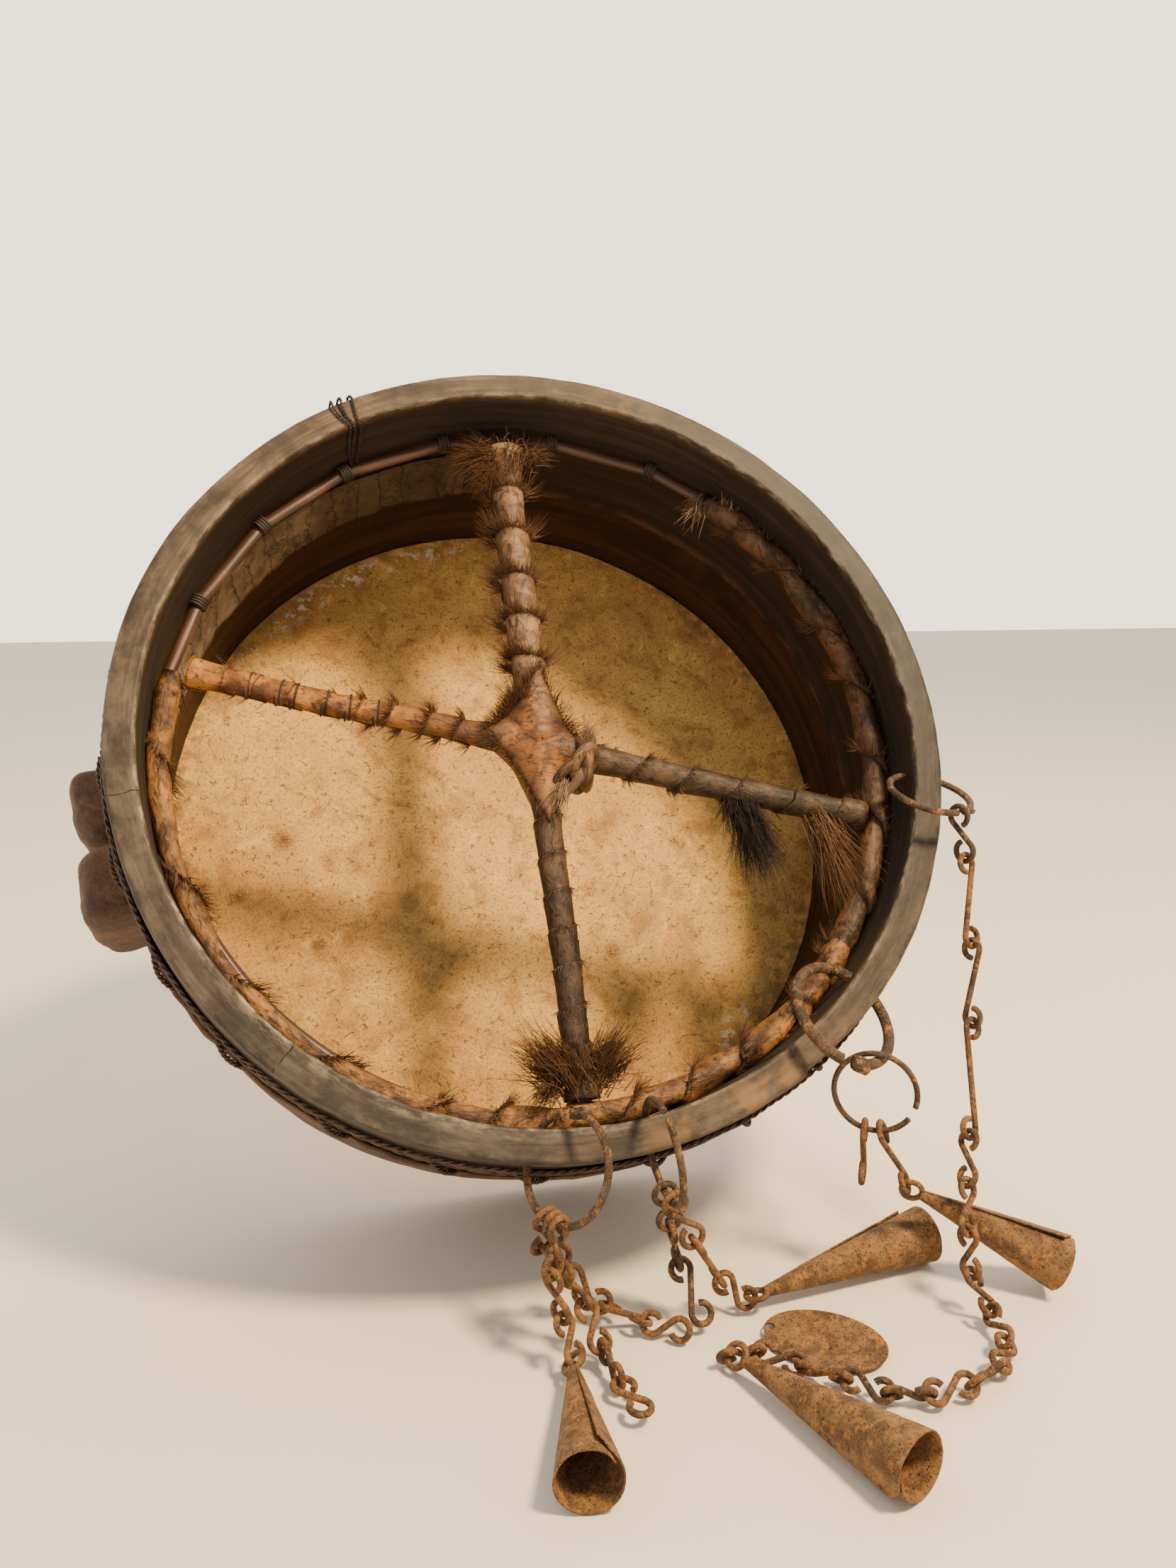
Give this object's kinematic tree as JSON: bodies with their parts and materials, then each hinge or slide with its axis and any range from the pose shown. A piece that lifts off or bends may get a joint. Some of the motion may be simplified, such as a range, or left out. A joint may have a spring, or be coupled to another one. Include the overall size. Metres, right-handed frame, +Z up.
{
  "type": "frame drum",
  "caption": "Shallow round frame drum seen from its open back: hide head on a bent hoop, hide-wrapped cross handle, and iron rings hung with chain links and rolled sheet cones.",
  "frame": {"origin": "centre of the hand grip, where the two sticks of the cross handle lap, on the drum's axis 38 mm inside the rim", "axes": "+Z up; the open back faces -Y and is tipped 30 degrees upward; +X to the right as seen from the open back"},
  "size_m": [0.5029, 0.5175, 0.487],
  "materials": {
    "hoop_wood": "dark weathered wood, worn pale along its inner edge",
    "inner_wood": "dark red-brown wood, smoky",
    "hide": "translucent golden tan rawhide with dark mottling",
    "block_hide": "wrinkled reddish-brown hide over a block",
    "dark_cord": "dark twisted sinew cord",
    "liner": "grey dried hide, cracked",
    "cane": "reddish cane",
    "wrap_hide": "golden-brown hide wrapping, lumpy",
    "stick_wood": "plain stick",
    "arm_leather": "greyish-tan hide wound in a spiral",
    "arm_leather_tan": "orange-brown leather",
    "arm_leather_dark": "dark grey-brown leather",
    "fur_black": "black hair",
    "fur_brown": "reddish-brown hair",
    "wire_iron": "rusty forged iron wire",
    "sheet_iron": "rusty rolled sheet iron"
  },
  "bodies": {
    "drum": {"rear_hoop": "hoop_wood", "hoop_lap_end": "hoop_wood", "head_hoop": "inner_wood", "drum_hide": "hide", "resonator_block_upper": "block_hide", "resonator_block_lower": "block_hide", "lacing_cord": "dark_cord", "liner_strip": "liner", "tie_ring": "cane", "ring_wrap_right": "wrap_hide", "ring_wrap_bottom": "wrap_hide", "ring_wrap_left": "wrap_hide", "ring_ties": "dark_cord", "upright_stick": "stick_wood", "cross_stick": "stick_wood", "arm_wrap_top": "arm_leather", "arm_wrap_left": "arm_leather_tan", "arm_wrap_right": "arm_leather_dark", "arm_wrap_bottom": "arm_leather_dark", "centre_patch": "arm_leather_tan", "centre_knot": "arm_leather_tan", "tuft_black": "fur_black", "tuft_brown": "fur_brown", "foot_tufts": "fur_brown", "repair_cord": "dark_cord"},
    "rim_ring_left": {"rim_ring_left": "wire_iron"},
    "rim_ring_middle": {"rim_ring_middle": "wire_iron"},
    "rim_ring_thick": {"rim_ring_thick": "wire_iron"},
    "rim_ring_right": {"rim_ring_right": "wire_iron"},
    "right_chain_01": {"right_chain_01": "wire_iron"},
    "right_chain_02": {"right_chain_02": "wire_iron"},
    "right_chain_03": {"right_chain_03": "wire_iron"},
    "right_chain_04": {"right_chain_04": "wire_iron"},
    "right_chain_05": {"right_chain_05": "wire_iron"},
    "right_chain_06": {"right_chain_06": "wire_iron"},
    "right_chain_07": {"right_chain_07": "wire_iron"},
    "right_chain_08": {"right_chain_08": "wire_iron"},
    "right_chain_09": {"right_chain_09": "wire_iron"},
    "right_chain_10": {"right_chain_10": "wire_iron"},
    "cone_front": {"cone_front": "sheet_iron"},
    "left_chain_cone_01": {"left_chain_cone_01": "wire_iron"},
    "left_chain_cone_02": {"left_chain_cone_02": "wire_iron"},
    "cone_left": {"cone_left": "sheet_iron"},
    "left_chain_loose_01": {"left_chain_loose_01": "wire_iron"},
    "left_chain_loose_02": {"left_chain_loose_02": "wire_iron"},
    "left_chain_loose_03": {"left_chain_loose_03": "wire_iron"},
    "left_chain_link_01": {"left_chain_link_01": "wire_iron"},
    "left_chain_link_02": {"left_chain_link_02": "wire_iron"},
    "left_chain_link_03": {"left_chain_link_03": "wire_iron"},
    "middle_chain_left_01": {"middle_chain_left_01": "wire_iron"},
    "middle_chain_left_02": {"middle_chain_left_02": "wire_iron"},
    "middle_chain_right_01": {"middle_chain_right_01": "wire_iron"},
    "middle_chain_right_02": {"middle_chain_right_02": "wire_iron"},
    "cone_middle": {"cone_middle": "sheet_iron"},
    "oval_disc": {"oval_disc": "sheet_iron"},
    "wire_ring": {"wire_ring": "wire_iron"},
    "hanging_link": {"hanging_link": "wire_iron"},
    "cone_link": {"cone_link": "wire_iron"},
    "cone_right": {"cone_right": "sheet_iron"}
  },
  "joints": [
    {"name": "rim_ring_left_swing", "type": "hinge", "parent": "drum", "child": "rim_ring_left", "pos_m": [-0.02968, -0.13054, -0.1781], "axis": [-0.3617, -0.1733, -0.916], "range_deg": [-4, 45]},
    {"name": "rim_ring_middle_swing", "type": "hinge", "parent": "drum", "child": "rim_ring_middle", "pos_m": [0.0293, -0.13056, -0.17814], "axis": [0.1226, -0.1351, -0.9832], "range_deg": [-10, 2]},
    {"name": "rim_ring_thick_swing", "type": "hinge", "parent": "drum", "child": "rim_ring_thick", "pos_m": [0.15798, -0.09841, -0.12245], "axis": [0.6453, -0.425, -0.6348], "range_deg": [-8, 10]},
    {"name": "rim_ring_right_swing", "type": "hinge", "parent": "drum", "child": "rim_ring_right", "pos_m": [0.21846, -0.03906, -0.01966], "axis": [0.9787, -0.1325, -0.1567], "range_deg": [-45, 0]},
    {"name": "right_chain_01_hinge", "type": "hinge", "parent": "rim_ring_right", "child": "right_chain_01", "pos_m": [0.22214, -0.07852, -0.03171], "axis": [-0.9302, -0.365, 0.0394], "range_deg": [0, 45]},
    {"name": "right_chain_02_hinge", "type": "hinge", "parent": "right_chain_01", "child": "right_chain_02", "pos_m": [0.224, -0.086, -0.057], "axis": [-0.3603, 0.887, -0.2888], "range_deg": [0, 12]},
    {"name": "right_chain_03_hinge", "type": "hinge", "parent": "right_chain_02", "child": "right_chain_03", "pos_m": [0.221, -0.102, -0.101], "axis": [0.9309, 0.3183, -0.1792], "range_deg": [-30, 0]},
    {"name": "right_chain_04_hinge", "type": "hinge", "parent": "right_chain_03", "child": "right_chain_04", "pos_m": [0.217, -0.114, -0.142], "axis": [0.354, -0.9063, 0.2307], "range_deg": [-21, 0]},
    {"name": "right_chain_05_hinge", "type": "hinge", "parent": "right_chain_04", "child": "right_chain_05", "pos_m": [0.202, -0.141, -0.192], "axis": [-0.896, -0.2182, 0.3866], "range_deg": [-2, 25]},
    {"name": "right_chain_06_hinge", "type": "hinge", "parent": "right_chain_05", "child": "right_chain_06", "pos_m": [0.187, -0.169, -0.229], "axis": [0.8651, 0.1728, -0.4708], "range_deg": [-40, 2]},
    {"name": "right_chain_07_hinge", "type": "hinge", "parent": "right_chain_06", "child": "right_chain_07", "pos_m": [0.189, -0.19, -0.26], "axis": [-0.9148, -0.3574, 0.1882], "range_deg": [-4, 6]},
    {"name": "right_chain_08_hinge", "type": "hinge", "parent": "right_chain_07", "child": "right_chain_08", "pos_m": [0.173, -0.224, -0.263], "axis": [0.6225, -0.5395, -0.5669], "range_deg": [-45, 2]},
    {"name": "right_chain_09_hinge", "type": "hinge", "parent": "right_chain_08", "child": "right_chain_09", "pos_m": [0.132, -0.234, -0.263], "axis": [-0.076, 0.8359, 0.5436], "range_deg": [-4, 40]},
    {"name": "right_chain_10_hinge", "type": "hinge", "parent": "right_chain_09", "child": "right_chain_10", "pos_m": [0.1, -0.216, -0.263], "axis": [-0.5622, -0.6054, -0.5634], "range_deg": [-4, 6]},
    {"name": "cone_front_hinge", "type": "hinge", "parent": "right_chain_10", "child": "cone_front", "pos_m": [0.0544, -0.18978, -0.26138], "axis": [0.6996, 0.3118, -0.6429], "range_deg": [-45, 2]},
    {"name": "left_chain_cone_01_hinge", "type": "hinge", "parent": "rim_ring_left", "child": "left_chain_cone_01", "pos_m": [-0.02186, -0.16172, -0.20032], "axis": [0.5582, -0.8292, 0.0287], "range_deg": [-40, 0]},
    {"name": "left_chain_cone_02_hinge", "type": "hinge", "parent": "left_chain_cone_01", "child": "left_chain_cone_02", "pos_m": [-0.023, -0.171, -0.244], "axis": [-0.5261, 0.7943, -0.3038], "range_deg": [-4, 25]},
    {"name": "cone_left_hinge", "type": "hinge", "parent": "left_chain_cone_02", "child": "cone_left", "pos_m": [-0.02038, -0.18063, -0.2588], "axis": [-0.6685, 0.1264, 0.7328], "range_deg": [-4, 12]},
    {"name": "left_chain_loose_01_hinge", "type": "hinge", "parent": "rim_ring_left", "child": "left_chain_loose_01", "pos_m": [-0.02465, -0.15764, -0.20088], "axis": [0.526, -0.8494, 0.0419], "range_deg": [0, 4]},
    {"name": "left_chain_loose_02_hinge", "type": "hinge", "parent": "left_chain_loose_01", "child": "left_chain_loose_02", "pos_m": [-0.02, -0.156, -0.226], "axis": [-0.8308, -0.5238, -0.1882], "range_deg": [-6, 15]},
    {"name": "left_chain_loose_03_hinge", "type": "hinge", "parent": "left_chain_loose_02", "child": "left_chain_loose_03", "pos_m": [-0.005, -0.175, -0.259], "axis": [0.9555, 0.2907, 0.0505], "range_deg": [-6, 12]},
    {"name": "left_chain_link_01_hinge", "type": "hinge", "parent": "rim_ring_left", "child": "left_chain_link_01", "pos_m": [-0.02729, -0.15297, -0.20042], "axis": [0.4504, -0.8244, -0.3429], "range_deg": [-6, 2]},
    {"name": "left_chain_link_02_hinge", "type": "hinge", "parent": "left_chain_link_01", "child": "left_chain_link_02", "pos_m": [-0.027, -0.143, -0.224], "axis": [-0.8928, -0.4109, -0.1847], "range_deg": [-6, 21]},
    {"name": "left_chain_link_03_hinge", "type": "hinge", "parent": "left_chain_link_02", "child": "left_chain_link_03", "pos_m": [0.004, -0.144, -0.259], "axis": [0.7131, 0.1878, 0.6755], "range_deg": [-15, 6]},
    {"name": "middle_chain_left_01_hinge", "type": "hinge", "parent": "rim_ring_middle", "child": "middle_chain_left_01", "pos_m": [0.03268, -0.14893, -0.19679], "axis": [0.069, -0.9907, -0.1172], "range_deg": [-4, 10]},
    {"name": "middle_chain_left_02_hinge", "type": "hinge", "parent": "middle_chain_left_01", "child": "middle_chain_left_02", "pos_m": [0.041, -0.147, -0.24], "axis": [-0.037, 0.9978, -0.0546], "range_deg": [-30, 15]},
    {"name": "middle_chain_right_01_hinge", "type": "hinge", "parent": "rim_ring_middle", "child": "middle_chain_right_01", "pos_m": [0.03341, -0.15998, -0.19675], "axis": [0.1625, -0.9867, 0.0035], "range_deg": [0, 6]},
    {"name": "middle_chain_right_02_hinge", "type": "hinge", "parent": "middle_chain_right_01", "child": "middle_chain_right_02", "pos_m": [0.046, -0.158, -0.222], "axis": [-0.8806, -0.1466, -0.4506], "range_deg": [-6, 4]},
    {"name": "cone_middle_hinge", "type": "hinge", "parent": "middle_chain_right_02", "child": "cone_middle", "pos_m": [0.0787, -0.15151, -0.26075], "axis": [0.0969, -0.195, -0.976], "range_deg": [-10, 10]},
    {"name": "oval_disc_hinge", "type": "hinge", "parent": "middle_chain_right_02", "child": "oval_disc", "pos_m": [0.082, -0.168, -0.267], "axis": [0.586, 0.8077, 0.0646], "range_deg": [-45, 6]},
    {"name": "wire_ring_hinge", "type": "hinge", "parent": "rim_ring_thick", "child": "wire_ring", "pos_m": [0.14938, -0.13645, -0.14866], "axis": [-0.8637, -0.5041, -0.0016], "range_deg": [-4, 8]},
    {"name": "hanging_link_hinge", "type": "hinge", "parent": "wire_ring", "child": "hanging_link", "pos_m": [0.14543, -0.13393, -0.18374], "axis": [0.8429, -0.5381, 0], "range_deg": [-35, 35]},
    {"name": "cone_link_hinge", "type": "hinge", "parent": "wire_ring", "child": "cone_link", "pos_m": [0.15221, -0.13826, -0.18402], "axis": [0.7608, -0.5405, 0.3593], "range_deg": [-10, 25]},
    {"name": "cone_right_hinge", "type": "hinge", "parent": "cone_link", "child": "cone_right", "pos_m": [0.16925, -0.13819, -0.22], "axis": [0.4801, 0.8412, 0.2488], "range_deg": [-10, 4]}
  ]
}
